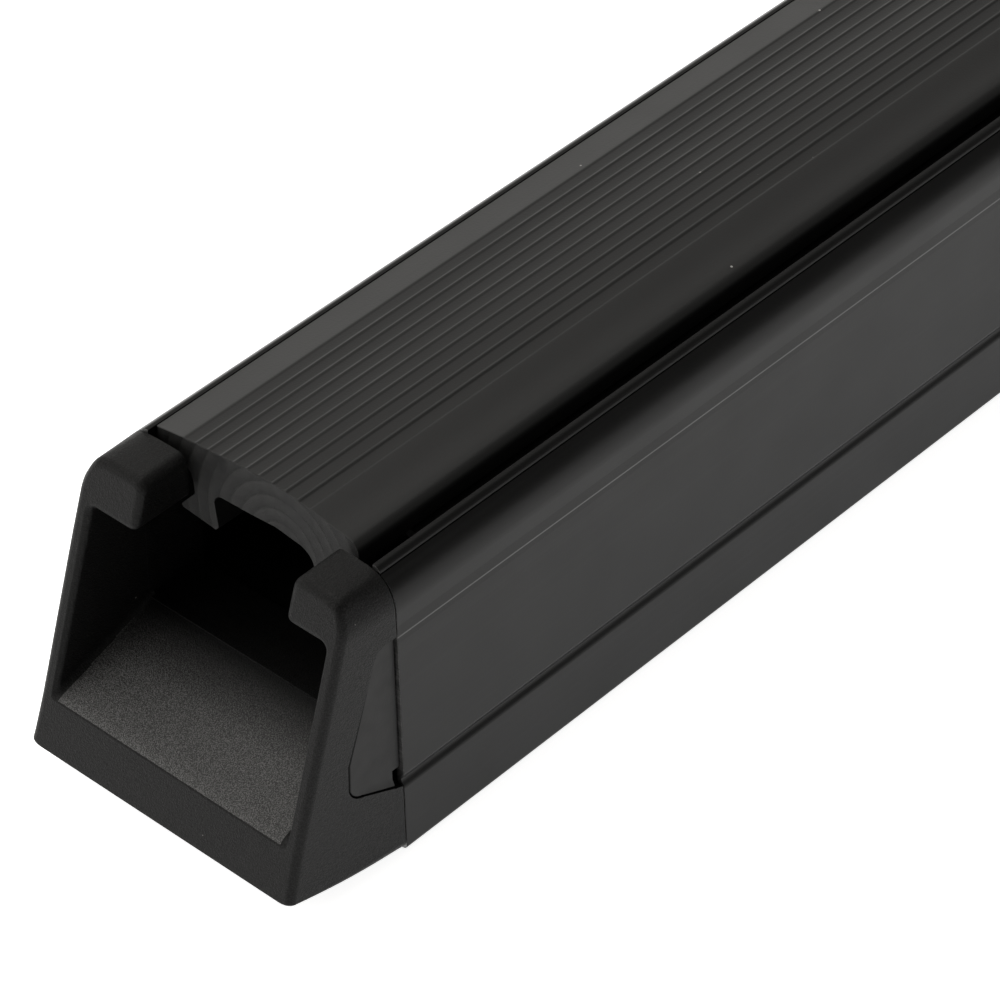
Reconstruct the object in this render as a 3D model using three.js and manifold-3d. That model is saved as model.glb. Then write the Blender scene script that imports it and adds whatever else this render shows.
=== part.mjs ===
// Bed cargo bar: a heavy-duty aluminium crossbar for a truck-bed rack.
// Millimetres, +Z up. The bar lies along X, centred, with its underside on z = 0.
// The -Y side is called the front, the +Y side the rear, the -X end the left end.
import * as THREE from 'three';
import { mergeVertices } from 'three/addons/utils/BufferGeometryUtils.js';
import Module from 'manifold-3d';

const wasm = await Module();
wasm.setup();

// ---- driving dimensions -------------------------------------------------
const BAR_LENGTH = 1524; // aluminium only, 60 in
const BASE_HALF = 35; // half width across the underside
const SIDE_LEAN = 0.0272; // the sides lean in by this much per mm of height
const WALL = 1.8;
const CORNER_RADIUS = 1.2;
const RIM_TOP = 65; // the two rails that flank the rubber strip
const RIM_INNER = 27.7;
const RIM_OUTER = 29.6;
const RIM_ROUND = 1.4;
const RIDGE_HEIGHT = 51;
const SHOULDER = { y: 27.5, z: 56.5, ry: 5.9, rz: 7.9 };
const GROOVE = { z: 17, halfHeight: 1.8, depth: 0.75 };
const WEB = { bottom: 20.3, top: 22.9 }; // shelf between the two compartments
const LIP = { nose: 19.2, beadEnd: 21.4, bead: 54.6, under: 56, top: 59.5 };
const LOWER_SLOT = { mouth: 6.2, half: 12.2, lip: 2.6, top: 10.6, skin: 2.4 };
const LIP_NOTCH = 16; // the lips stop this far short of each end of the bar

const STRIP_SETBACK = 2; // the rubber ends just inside the bar
const STRIP = { rear: 27.4, front: -22.6 };
// The crowned top of the strip, from its front edge to its rear one.
const CROWN = [
  [-22.6, 65.2], [-16.4, 65.85], [-11.1, 66.85], [-5.5, 67.5], [1, 67.65],
  [8, 67.2], [14, 66.65], [19.5, 66.15], [23.5, 65.55], [27.6, 64.9],
];
// Shallow flutes run along the strip, with a crest at every rib line.
const RIBS = { first: 20.7, count: 11, pitch: 3.18, depth: 0.08 };

const FIT = 0.3; // clearance between neighbouring pieces
const CAP_DEPTH = 29.1; // reach of the cap's front plane at height CAP_REACH_Z
const CAP_REACH_Z = 5;
const CAP_TILT = 0.304; // the front plane leans back by this much per mm of height
const CAP_ROUND = 1.6;
const CAP_STEPS = 8; // divisions along the cap, so that its underside can bow
const TRAY_TOP = 25.6;
const UNDERSIDE_RISE = 0.172; // slope of the cap's underside
const UNDERSIDE_BOW = 0.8;
const TRAY_FALL = 0.362; // slope of the tray inside the mouth
const CAP_INNER = 28.6;
const HORN_TOP = 64.8;
// The horns reach in over the bar's rims to |y| = inner; the rear one is a little larger.
const FRONT_HORN = { inner: 19.1, bottom: 55.7 };
const REAR_HORN = { inner: 17.6, bottom: 54.7 };
const SLEEVE = { depth: 14, bottom: 23.2, top: 55.6, shoulder: 30.5, clearance: 0.5 };
// The sleeve's inside is flush with the cap's over a short bead, then steps outwards.
const BEAD = { front: -1, back: 0.6, sideStep: 0.5, floorStep: 1.3 };
const BLADE = { inner: 29.6, outer: 32.4, bottom: 4.5, top: 18.2 };
const OUTER_DRAFT = -0.055;
const INNER_DRAFT = 0.035;

// |y| of the tongue's face at its free tip and at the bar's end, at LEAN_CENTRE.
const TONGUE = { tip: 33.3, seat: 33.25, thickness: 1.5, root: 2.3, gap: 0.35 };
const TAB = { length: 10, inner: 30.95, outer: 31.65, bottom: 23.5, top: 46 }; // the tongue's root inside the bar
const NOTCH = { reach: 1.9, bottom: 16.6, top: 20.6 }; // hole in the tongue's low corner
const LEAN_CENTRE = 35; // height at which the tongue's lean is zero
const POCKET_FLOOR = 29.8;
const TRAY_HOLLOW = { rib: 1.3, side: 29.2 }; // from the middle rib to the side walls

const NUT = { length: 20, half: 11.6, bottom: 3, top: 9, hole: 3.4 };
const NUT_PLACES = [-590, -530, 530, 590];
const INFILL = { half: 5.9, barb: 7.2, neck: 5.2, top: 5.2 };
const INFILL_SPANS = {
  underside_infill_left: [-758, -640],
  underside_infill_centre: [-480, 480],
  underside_infill_right: [640, 758],
};

// ---- materials ------------------------------------------------------------
function coatedAluminium() {
  return new THREE.MeshStandardMaterial({ color: 0x1c1d1b, roughness: 0.42, metalness: 0.5 });
}

function rubber() {
  return new THREE.MeshStandardMaterial({ color: 0x151614, roughness: 0.68, metalness: 0 });
}

function texturedPlastic() {
  return new THREE.MeshStandardMaterial({ color: 0x191a19, roughness: 0.6, metalness: 0 });
}

function smoothPlastic() {
  return new THREE.MeshStandardMaterial({ color: 0x1f201e, roughness: 0.45, metalness: 0 });
}

function zincSteel() {
  return new THREE.MeshStandardMaterial({ color: 0x9a9c9d, roughness: 0.35, metalness: 1 });
}

// ---- geometry helpers -----------------------------------------------------
function shapeFrom(points) {
  return new THREE.Shape(points.map(([a, b]) => new THREE.Vector2(a, b)));
}

// Points on an ellipse arc, angles in degrees from the first axis.
function arc(a, b, ra, rb, from, to, steps) {
  const points = [];
  for (let i = 0; i <= steps; i += 1) {
    const angle = THREE.MathUtils.degToRad(from + ((to - from) * i) / steps);
    points.push([a + ra * Math.cos(angle), b + rb * Math.sin(angle)]);
  }
  return points;
}

// Closes an outline drawn for y >= 0 with its mirror image.
function bothSides(half) {
  const onAxis = ([y]) => Math.abs(y) < 1e-9;
  const other = half.filter((point) => !onAxis(point)).map(([y, z]) => [-y, z]);
  return [...half, ...other.reverse()];
}

function extrude(points, depth, options = {}) {
  const shape = points instanceof THREE.Shape ? points : shapeFrom(points);
  return new THREE.ExtrudeGeometry(shape, { depth, bevelEnabled: false, ...options });
}

// Outline in (y, z), pulled from x0 to x1.
function prismX(points, x0, x1, options) {
  const geometry = extrude(points, x1 - x0, options);
  const axes = new THREE.Matrix4().makeBasis(
    new THREE.Vector3(0, 1, 0), new THREE.Vector3(0, 0, 1), new THREE.Vector3(1, 0, 0));
  return geometry.applyMatrix4(axes).translate(x0, 0, 0);
}

// Outline in (x, z), pulled from y0 to y1.
function prismY(points, y0, y1) {
  return extrude(points, y1 - y0).rotateX(Math.PI / 2).translate(0, y1, 0);
}

function box(x0, x1, y0, y1, z0, z1) {
  const geometry = new THREE.BoxGeometry(x1 - x0, y1 - y0, z1 - z0);
  return geometry.translate((x0 + x1) / 2, (y0 + y1) / 2, (z0 + z1) / 2);
}

function solid(geometry) {
  const bare = geometry.clone();
  bare.deleteAttribute('normal');
  bare.deleteAttribute('uv');
  const merged = mergeVertices(bare, 1e-4);
  return new wasm.Manifold(new wasm.Mesh({
    numProp: 3,
    vertProperties: new Float32Array(merged.attributes.position.array),
    triVerts: new Uint32Array(merged.index.array),
  }));
}

function toGeometry(body) {
  const { vertProperties, triVerts } = body.getMesh();
  const geometry = new THREE.BufferGeometry();
  geometry.setAttribute('position', new THREE.BufferAttribute(vertProperties, 3));
  geometry.setIndex(new THREE.BufferAttribute(triVerts, 1));
  geometry.computeVertexNormals();
  return geometry;
}

function cut(geometry, ...tools) {
  return toGeometry(tools.reduce((body, tool) => body.subtract(solid(tool)), solid(geometry)));
}

function join(...pieces) {
  return toGeometry(pieces.map(solid).reduce((body, piece) => body.add(piece)));
}

// Mirror image across the plane y = 0, with its faces still pointing out.
function mirrorY(geometry) {
  const mirrored = mergeVertices(geometry.clone().scale(1, -1, 1));
  const corners = mirrored.index;
  for (let i = 0; i < corners.count; i += 3) {
    const second = corners.getX(i + 1);
    corners.setX(i + 1, corners.getX(i + 2));
    corners.setX(i + 2, second);
  }
  return mirrored;
}

function addPiece(group, name, geometry, material) {
  const mesh = new THREE.Mesh(geometry, material);
  mesh.name = name;
  group.add(mesh);
  return mesh;
}

// ---- crossbar extrusion ---------------------------------------------------
function sideAt(z) {
  return BASE_HALF - SIDE_LEAN * z;
}

function shoulderArc(fromY, steps) {
  const start = THREE.MathUtils.radToDeg(Math.acos((fromY - SHOULDER.y) / SHOULDER.ry));
  return arc(SHOULDER.y, SHOULDER.z, SHOULDER.ry, SHOULDER.rz, 0, start, steps);
}

function sideGroove() {
  const { z, halfHeight, depth } = GROOVE;
  const points = [];
  for (let i = -4; i <= 4; i += 1) {
    const share = i / 4;
    const height = z + halfHeight * share;
    points.push([sideAt(height) - depth * Math.cos((share * Math.PI) / 2) ** 2, height]);
  }
  return points;
}

function barOutline() {
  const shoulderFoot = SHOULDER.y + SHOULDER.ry;
  const corner = BASE_HALF - CORNER_RADIUS;
  return bothSides([
    [0, LOWER_SLOT.top],
    [LOWER_SLOT.half, LOWER_SLOT.top],
    [LOWER_SLOT.half, LOWER_SLOT.lip],
    [LOWER_SLOT.mouth, LOWER_SLOT.lip],
    [LOWER_SLOT.mouth, 0],
    ...arc(corner, CORNER_RADIUS, CORNER_RADIUS, CORNER_RADIUS, -90, 0, 4),
    ...sideGroove(),
    ...arc(sideAt(RIDGE_HEIGHT) - 0.5, RIDGE_HEIGHT, 0.5, 0.8, 0, 75, 4),
    [shoulderFoot, RIDGE_HEIGHT + 1.3],
    ...shoulderArc(RIM_OUTER + 0.2, 8),
    ...arc(RIM_OUTER - RIM_ROUND, RIM_TOP - RIM_ROUND, RIM_ROUND, RIM_ROUND, 0, 90, 4),
    [RIM_INNER, RIM_TOP],
    [RIM_INNER, LIP.top],
    [LIP.nose + 2.4, LIP.top],
    [LIP.nose + 1, LIP.top - 0.6],
    [LIP.nose + 0.2, LIP.top - 1.7],
    [LIP.nose, LIP.top - 2.9],
    [LIP.nose, LIP.bead],
    [LIP.beadEnd, LIP.bead],
    [LIP.beadEnd + 0.6, LIP.under],
    [shoulderFoot - WALL, LIP.under],
    [sideAt(RIDGE_HEIGHT) - WALL, RIDGE_HEIGHT - 1],
    [sideAt(WEB.top) - WALL, WEB.top],
    [0, WEB.top],
  ]);
}

// The closed compartment that wraps round the lower slot.
function lowerHollow() {
  const slotWall = LOWER_SLOT.half + LOWER_SLOT.skin;
  return bothSides([
    [0, LOWER_SLOT.top + LOWER_SLOT.skin],
    [slotWall, LOWER_SLOT.top + LOWER_SLOT.skin],
    [slotWall, LOWER_SLOT.lip],
    [sideAt(LOWER_SLOT.lip) - WALL, LOWER_SLOT.lip],
    [sideAt(WEB.bottom) - WALL, WEB.bottom],
    [0, WEB.bottom],
  ]);
}

function crossbarExtrusion() {
  const half = BAR_LENGTH / 2;
  const section = shapeFrom(barOutline());
  section.holes.push(new THREE.Path(shapeFrom(lowerHollow()).getPoints()));
  const notch = (x0, x1) => box(x0, x1, -RIM_INNER, RIM_INNER, LIP.bead - 1, LIP.top + 0.1);
  return cut(
    prismX(section, -half, half),
    notch(-half - 1, -half + LIP_NOTCH),
    notch(half - LIP_NOTCH, half + 1));
}

// ---- top rubber strip -----------------------------------------------------
// Height of the crown, by a smooth curve through its points.
function crownAt(y) {
  const last = CROWN.length - 1;
  const i = Math.min(Math.max(CROWN.findIndex(([at]) => at >= y) - 1, 0), last - 1);
  const slope = (k) => {
    const [before, after] = [CROWN[Math.max(k - 1, 0)], CROWN[Math.min(k + 1, last)]];
    return (after[1] - before[1]) / (after[0] - before[0]);
  };
  const [[y0, z0], [y1, z1]] = [CROWN[i], CROWN[i + 1]];
  const span = y1 - y0;
  const t = (y - y0) / span;
  const bend = (1 - t) * slope(i) - t * slope(i + 1) - ((1 - 2 * t) * (z1 - z0)) / span;
  return z0 + t * (z1 - z0) + t * (1 - t) * span * bend;
}

// From the front edge to the rear one, with a point at every crest and flute.
function stripTopLine() {
  const line = (i) => RIBS.first - i * RIBS.pitch;
  const points = [];
  const wide = 2.2;
  for (let y = STRIP.front + 3.2; y < line(RIBS.count - 1) - wide / 2; y += wide) {
    points.push([y, crownAt(y)]);
  }
  for (let i = RIBS.count - 1; i > 0; i -= 1) {
    const flute = line(i) + RIBS.pitch / 2;
    points.push([line(i), crownAt(line(i))], [flute, crownAt(flute) - RIBS.depth]);
  }
  for (let y = line(0); y < STRIP.rear - 1; y += wide) {
    points.push([y, crownAt(y)]);
  }
  return points;
}

function stripUnderside() {
  return [
    [STRIP.rear, 60.6],
    [STRIP.rear - 0.8, LIP.top + FIT],
    [21.6, LIP.top + FIT],
    [20, 59.2],
    [19.1, 58],
    [18.8, 56.6],
    [18.5, 54],
    [22.2, 49.6],
    [21.8, 48.9],
    [13.4, 48.1],
    [12.7, 49],
    [13.6, 54.6],
    ...arc(11.3, 54.6, 2.1, 2.1, 20, 90, 4),
    [4, 57],
    [-2, 57.5],
    ...arc(-6.8, 53.2, 4.5, 3.7, 90, 180, 5),
    [-11.3, 50],
    [-14.8, 50],
    [-15, 56],
    ...arc(-18.2, 56.6, 3.2, 3.2, 0, 90, 4),
    [STRIP.front + 0.6, LIP.top + FIT],
    [STRIP.front, 60.6],
  ];
}

function topRubberStrip() {
  const half = BAR_LENGTH / 2 - STRIP_SETBACK;
  const outline = [
    ...arc(STRIP.front + 2.2, 63.1, 2.2, 2.2, 180, 100, 4),
    ...stripTopLine(),
    [STRIP.rear - 0.3, 64.9],
    [STRIP.rear, 64.6],
    ...stripUnderside(),
  ];
  return prismX(outline, -half, half);
}

// ---- end cap, built for the left end with the bar's end face at x = 0 -----
function capHalfOutline(horn) {
  const corner = CAP_ROUND + 1.2;
  return [
    [0, 0],
    ...arc(BASE_HALF - corner, corner, corner, corner, -90, 0, 5),
    [sideAt(28), 28],
    [sideAt(RIDGE_HEIGHT - 2), RIDGE_HEIGHT - 2],
    ...shoulderArc(28.6, 9),
    [27, HORN_TOP],
    ...arc(horn.inner + 2.4, HORN_TOP - 2.4, 2.4, 2.4, 90, 180, 6),
    ...arc(horn.inner + 1.7, horn.bottom + 1.7, 1.7, 1.7, 180, 270, 5),
    ...arc(CAP_INNER - 1.4, horn.bottom - 1.4, 1.4, 1.4, 90, 0, 4),
    [CAP_INNER, 40],
    ...arc(CAP_INNER - 1.2, TRAY_TOP + 1.2, 1.2, 1.2, 0, -90, 4),
    [0, TRAY_TOP],
  ];
}

function capOutline() {
  const front = capHalfOutline(FRONT_HORN).slice(1, -1).map(([y, z]) => [-y, z]);
  return [...capHalfOutline(REAR_HORN), ...front.reverse()];
}

// Slope that a point of the cap takes along its depth, by its height.
function capSlope(z) {
  const { mapLinear } = THREE.MathUtils;
  const level = REAR_HORN.bottom - 3;
  if (z < TRAY_TOP) {
    return mapLinear(z, 0, TRAY_TOP, UNDERSIDE_RISE, -TRAY_FALL);
  }
  return mapLinear(Math.min(z, level), TRAY_TOP, level, -TRAY_FALL, 0);
}

// Turns a straight, round-edged frame into the cap: the front plane leans back,
// the underside rises, the tray falls and the walls take their draft.
function shapeCap(geometry) {
  const { lerp, clamp } = THREE.MathUtils;
  const place = geometry.attributes.position;
  for (let i = 0; i < place.count; i += 1) {
    const y = place.getY(i);
    const z = place.getZ(i);
    const slope = capSlope(z);
    const depth = (-place.getX(i) - CAP_TILT * (z - CAP_REACH_Z)) / (1 + CAP_TILT * slope);
    const outward = clamp((Math.abs(y) - CAP_INNER - 0.5) / 3, 0, 1);
    const draft = lerp(INNER_DRAFT, OUTER_DRAFT, outward);
    const inLeg = THREE.MathUtils.smoothstep(Math.abs(y), REAR_HORN.inner, CAP_INNER - 1);
    const reach = clamp(depth / CAP_DEPTH, 0, 1);
    const low = clamp(1 - z / TRAY_TOP, 0, 1);
    const bow = UNDERSIDE_BOW * Math.sin(Math.PI * reach) * low;
    place.setXYZ(i, -depth, y + Math.sign(y) * inLeg * draft * depth, z + slope * depth - bow);
  }
  return geometry;
}

function capFrame() {
  const rounding = {
    bevelEnabled: true,
    bevelSize: CAP_ROUND,
    bevelThickness: CAP_ROUND,
    bevelOffset: -CAP_ROUND,
    bevelSegments: 4,
    steps: CAP_STEPS,
  };
  const frame = prismX(capOutline(), -CAP_DEPTH + CAP_ROUND, 50, rounding);
  return cut(shapeCap(frame), box(0, 90, -60, 60, -60, 120));
}

function sleeveRing(x0, x1, inner, floor) {
  const outerAt = (z) => sideAt(z) - WALL - SLEEVE.clearance;
  return prismX(bothSides([
    [0, SLEEVE.bottom],
    [outerAt(SLEEVE.bottom), SLEEVE.bottom],
    [outerAt(RIDGE_HEIGHT - 2), RIDGE_HEIGHT - 2],
    [SLEEVE.shoulder, RIDGE_HEIGHT + 1],
    [SLEEVE.shoulder, SLEEVE.top],
    [inner, SLEEVE.top],
    [inner, floor],
    [0, floor],
  ]), x0, x1);
}

function capSleeve() {
  return join(
    sleeveRing(BEAD.front, BEAD.back, CAP_INNER, TRAY_TOP),
    sleeveRing(0, SLEEVE.depth, CAP_INNER + BEAD.sideStep, TRAY_TOP - BEAD.floorStep));
}

// Blades that locate the cap in the bar's lower compartment.
function capBlade(side) {
  const ys = [BLADE.inner * side, BLADE.outer * side].sort((a, b) => a - b);
  return box(-1, SLEEVE.depth - 4, ...ys, BLADE.bottom, BLADE.top);
}

// Hollows under the tray, open towards the bar.
function trayHollow(side) {
  const profile = [[1, 3], [1, 22.4], [-22.6, 14], [-23.8, 7.2]];
  const ys = [TRAY_HOLLOW.rib * side, TRAY_HOLLOW.side * side].sort((a, b) => a - b);
  return prismY(profile, ...ys);
}

// Outline in (x, z) of the spring tongue's window, grown by a margin.
function tongueWindow(margin, backX) {
  return [
    [backX, 16 - margin],
    [-0.9, 16.4 - margin],
    [-7, 18.8 - margin],
    [-9.6, 19.8 - margin],
    ...arc(-9.1, 23.8, 4 + margin, 4 + margin, 258, 190, 5),
    [-12.9 - margin, 29],
    [-9.3 - margin, 38.8],
    [-5.6 - margin, 49.3],
    [-4.4 - margin * 0.7, 50.9 + margin * 0.7],
    [-2.9, 51.5 + margin],
    [backX, 51.6 + margin],
  ];
}

function leftEndCap() {
  const windows = [-1, 1].flatMap((side) => {
    const ys = [POCKET_FLOOR * side, 40 * side].sort((a, b) => a - b);
    const tabRoom = box(-1, TAB.length + 0.6, ...ys, TAB.bottom - 0.8, TAB.top + 0.8);
    const through = [(TRAY_HOLLOW.side - 2) * side, 40 * side].sort((a, b) => a - b);
    const notch = box(-NOTCH.reach, 1, ...through, NOTCH.bottom, NOTCH.top);
    return [prismY(tongueWindow(0, 0.4), ...ys), tabRoom, notch];
  });
  return cut(
    join(capFrame(), capSleeve(), capBlade(-1), capBlade(1)),
    trayHollow(-1),
    trayHollow(1),
    ...windows);
}

// ---- spring tongue of the left cap, on the +Y side ------------------------
// Its face lies almost flush in the cap's side; a thin tab inside the bar carries it.
function rearTongue() {
  const { clamp, lerp, mapLinear } = THREE.MathUtils;
  const face = prismY(tongueWindow(-TONGUE.gap, -FIT), 0, 1);
  const place = face.attributes.position;
  for (let i = 0; i < place.count; i += 1) {
    const tipDepth = Math.min(mapLinear(place.getZ(i), 28, 50, 13.2, 5.4), 13.2);
    const reach = clamp(-place.getX(i) / tipDepth, 0, 1);
    const surface = lerp(TONGUE.seat, TONGUE.tip, reach);
    const thickness = lerp(TONGUE.root, TONGUE.thickness, reach);
    place.setY(i, surface - thickness * (1 - place.getY(i)));
  }
  const tab = box(-1.5, TAB.length, TAB.inner, TAB.outer, TAB.bottom, TAB.top);
  const hole = box(-NOTCH.reach, 1, 20, 40, 0, NOTCH.top);
  const tongue = cut(join(face, tab), hole);
  const points = tongue.attributes.position;
  for (let i = 0; i < points.count; i += 1) {
    points.setY(i, points.getY(i) - SIDE_LEAN * (points.getZ(i) - LEAN_CENTRE));
  }
  return tongue;
}

// ---- underside hardware ---------------------------------------------------
function channelNut() {
  const outline = shapeFrom([
    [-NUT.length / 2, -NUT.half],
    [NUT.length / 2, -NUT.half],
    [NUT.length / 2, NUT.half],
    [-NUT.length / 2, NUT.half],
  ]);
  outline.holes.push(new THREE.Path().absarc(0, 0, NUT.hole, 0, Math.PI * 2, true));
  const depth = NUT.top - NUT.bottom;
  return extrude(outline, depth, { curveSegments: 20 }).translate(0, 0, NUT.bottom);
}

function undersideInfill(x0, x1) {
  const lip = LOWER_SLOT.lip + FIT;
  const outline = bothSides([
    [0, FIT],
    [INFILL.half - 0.5, FIT],
    [INFILL.half, FIT + 0.5],
    [INFILL.half, lip - 0.1],
    [INFILL.barb, lip + 0.2],
    [INFILL.neck, INFILL.top],
    [0, INFILL.top],
  ]);
  return prismX(outline, x0, x1);
}

// ---- assembly -------------------------------------------------------------
const cargoBar = new THREE.Group();
addPiece(cargoBar, 'crossbar_extrusion', crossbarExtrusion(), coatedAluminium());
addPiece(cargoBar, 'top_rubber_strip', topRubberStrip(), rubber());

function capAssembly(end) {
  const group = new THREE.Group();
  const tongue = rearTongue();
  const near = end === 'left' ? 'rear' : 'front';
  const far = end === 'left' ? 'front' : 'rear';
  addPiece(group, `${end}_end_cap`, leftEndCap(), texturedPlastic());
  addPiece(group, `${end}_cap_${near}_tongue`, tongue, smoothPlastic());
  addPiece(group, `${end}_cap_${far}_tongue`, mirrorY(tongue), smoothPlastic());
  return group;
}

const leftCap = capAssembly('left');
leftCap.position.x = -BAR_LENGTH / 2 - FIT;
cargoBar.add(leftCap);

const rightCap = capAssembly('right');
rightCap.position.x = BAR_LENGTH / 2 + FIT;
rightCap.rotation.z = Math.PI;
cargoBar.add(rightCap);

NUT_PLACES.forEach((x, i) => {
  const nut = addPiece(cargoBar, `channel_nut_${i + 1}`, channelNut(), zincSteel());
  nut.position.x = x;
});

for (const [name, [x0, x1]] of Object.entries(INFILL_SPANS)) {
  addPiece(cargoBar, name, undersideInfill(x0, x1), rubber());
}

export default cargoBar;
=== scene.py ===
import math

import bmesh
import bpy
import numpy as np
from mathutils import Euler, Matrix, Vector
from mathutils.geometry import tessellate_polygon


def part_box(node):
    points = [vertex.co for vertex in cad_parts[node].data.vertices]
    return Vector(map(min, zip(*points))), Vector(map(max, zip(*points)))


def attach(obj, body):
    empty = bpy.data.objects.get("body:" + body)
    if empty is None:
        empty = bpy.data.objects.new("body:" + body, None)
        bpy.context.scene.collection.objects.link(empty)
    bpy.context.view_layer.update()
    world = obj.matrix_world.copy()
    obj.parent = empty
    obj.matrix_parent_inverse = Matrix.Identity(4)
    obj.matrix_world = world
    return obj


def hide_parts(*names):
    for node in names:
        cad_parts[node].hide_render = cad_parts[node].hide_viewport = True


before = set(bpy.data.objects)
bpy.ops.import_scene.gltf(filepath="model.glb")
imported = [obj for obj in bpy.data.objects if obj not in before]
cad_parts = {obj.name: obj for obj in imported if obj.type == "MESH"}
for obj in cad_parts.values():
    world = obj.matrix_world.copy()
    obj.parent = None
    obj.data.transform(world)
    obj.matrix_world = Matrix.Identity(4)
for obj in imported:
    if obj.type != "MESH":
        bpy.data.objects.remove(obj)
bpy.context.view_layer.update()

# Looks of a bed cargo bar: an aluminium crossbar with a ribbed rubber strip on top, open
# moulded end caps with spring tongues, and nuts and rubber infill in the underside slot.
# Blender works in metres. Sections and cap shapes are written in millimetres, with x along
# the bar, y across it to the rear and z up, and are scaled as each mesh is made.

MM = 0.001


def node_box(node):
    """Lowest and highest corner of a CAD node, in millimetres."""
    low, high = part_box(node)
    return np.array(low) / MM, np.array(high) / MM


# ---- sizes, in millimetres: overall ones from the frame, section details as designed ----
BAR_END, BASE_HALF, RIM_TOP = node_box("crossbar_extrusion")[1]
STRIP_LOW, STRIP_HIGH = node_box("top_rubber_strip")
FIT = 0.3

# the bar's section: a side that leans in, a groove low on it, a ridge, a shoulder and a rim
SIDE_LEAN = 0.0272
WALL = 1.8
GROOVE_Z = 17.0
GROOVE_HALF = 1.8
GROOVE_DEPTH = 0.75
RIDGE = 51.0
SHOULDER_Y = 27.5
SHOULDER_Z = 56.5
SHOULDER_RY = 5.9
SHOULDER_RZ = 7.9
RIM_INNER = 27.7
RIM_OUTER = 29.6
RIM_ROUND = 1.4
WEB_BOTTOM = 20.3
WEB_TOP = 22.9
DEBURR = 0.12

# the lips under the rubber strip, cut back at a slant near the bar's ends
LIP_NOSE = 19.2
LIP_BEAD_END = 21.4
LIP_BEAD = 54.6
LIP_UNDER = 56.0
LIP_TOP = 59.5
LIP_NOTCH = 16.0
LIP_UNDERCUT = 3.0

# the slot in the underside
SLOT_MOUTH = 6.2
SLOT_HALF = 12.2
SLOT_LIP = 2.6
SLOT_TOP = 10.6
SLOT_SKIN = 2.4

# the rubber strip: its crown as (y, z), its rib lines, and the flutes and crests among them
STRIP_REAR = 27.64
STRIP_FRONT = -22.6
STRIP_EDGE = 60.6
CROWN = np.array([
    (-22.6, 65.2), (-16.4, 65.85), (-11.1, 66.85), (-5.5, 67.5), (1, 67.65),
    (8, 67.2), (14, 66.65), (19.5, 66.15), (23.5, 65.55), (27.6, 64.9),
])
RIB_FIRST = 20.7
RIB_COUNT = 11
RIB_PITCH = 3.18
FLUTE_DEPTH = 0.07
CREST_HEIGHT = 0.13
CREST_HALF = 0.6
STRIP_END_ROUND = 0.2

# the end cap's frame; a horn is its inner edge's y and its lower face's z
CAP_DEPTH = 29.1
CAP_REACH_Z = 5.0             # height at which the cap is that deep
CAP_TILT = 0.304              # its front plane's lean, depth lost per height
CAP_ROUND = 1.6
CAP_CORNER = CAP_ROUND + 1.2
CAP_INNER = 28.6
CAP_LOWEST = 0.06
CAP_EDGE = 0.14               # round on its sharp edges
SWEEP_END = 50
OUTER_DRAFT = -0.055          # lean of the legs' outer and inner faces, per depth
INNER_DRAFT = 0.035
FRONT_HORN = (19.1, 55.7)
REAR_HORN = (17.6, 54.7)
HORN_TOP = 64.8
HORN_NOSE_ROUND = 2.4
HORN_CHIN_ROUND = 1.7
HORN_ROOT_ROUND = 1.4
TRAY_TOP = 25.6
TRAY_FALL = 0.362             # per depth
TRAY_ROUND = 1.2
TRAY_PAINTED_SHADE = (764.0, 776.0)   # |x| between which the tray's painted shade, near the bar's end, gives way to its full grain
UNDERSIDE_RISE = 0.172        # per depth
UNDERSIDE_BOW = 0.8
HOLLOW_RIB = 1.3
HOLLOW_SIDE = 29.2
OUTSIDE = 40                  # a |y| that is clear of the object

# the cap's sleeve inside the bar, the bead at its root and the two blades low down
SLEEVE_DEPTH = 14.0
SLEEVE_BOTTOM = 23.2
SLEEVE_TOP = 55.6
SLEEVE_SHOULDER = 30.5
SLEEVE_GAP = 0.5
BEAD_FRONT = -1.0
BEAD_BACK = 0.6
BEAD_SIDE_STEP = 0.5
BEAD_FLOOR_STEP = 1.3
BLADE_INNER = 29.6
BLADE_OUTER = 32.4
BLADE_BOTTOM = 4.5
BLADE_TOP = 18.2
BLADE_END = SLEEVE_DEPTH - 4

# the spring tongue, its slanted free edge as (-x, z), its tab in the bar and a notch below
TONGUE_TIP = 33.3
TONGUE_SEAT = 33.25
TONGUE_THICK = 1.5
TONGUE_ROOT = 2.3
TONGUE_GAP = 0.3
TONGUE_BACK = 0.1
FREE_EDGE = ((13.2, 28), (5.4, 50))
POCKET_FLOOR = 29.8
TAB_LENGTH = 10.0
TAB_BOTTOM = 23.5
TAB_TOP = 46.0
TAB_INNER = 30.95
TAB_OUTER = 31.65
NOTCH_REACH = 1.9
NOTCH_BOTTOM = 16.6
NOTCH_TOP = 20.6
LEAN_CENTRE = 35.0            # height at which the lean leaves |y| as it is

# the nuts and the rubber infill in the underside slot
NUT_BOTTOM, NUT_TOP = (end[2] for end in node_box("channel_nut_1"))
NUT_HALF_LENGTH = 10.0
NUT_HALF_WIDTH = node_box("channel_nut_1")[1][1]
NUT_HOLE = 3.4
NUT_CHAMFER = 0.7
NUT_TURNS = 48
THREAD_ROWS = 40
THREAD_PITCH = 1.25
THREAD_DEPTH = 0.45
INFILL_HALF = 5.9
INFILL_BARB = 7.2
INFILL_NECK = 5.2
INFILL_TOP = 5.2
INFILL_END_ROUND = 0.25

# the studio, in metres and degrees
FLOOR_HALF = 12.0
FLOOR_HEIGHT = -0.0006
KEY_LIGHT = (0.12, 0.32, 0.94)
FILL_LIGHT = (-0.66, 0.4, 0.64)
CAMERA_PLACE = (-1.233291, -0.481083, 0.632040)
CAMERA_TURN = (49.8013, 0.0067, -48.0763)
CAMERA_LENS = 177.96


# ---- outlines -----------------------------------------------------------------------------
def clamp(value):
    """The value held between 0 and 1."""
    return min(max(value, 0), 1)


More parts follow.
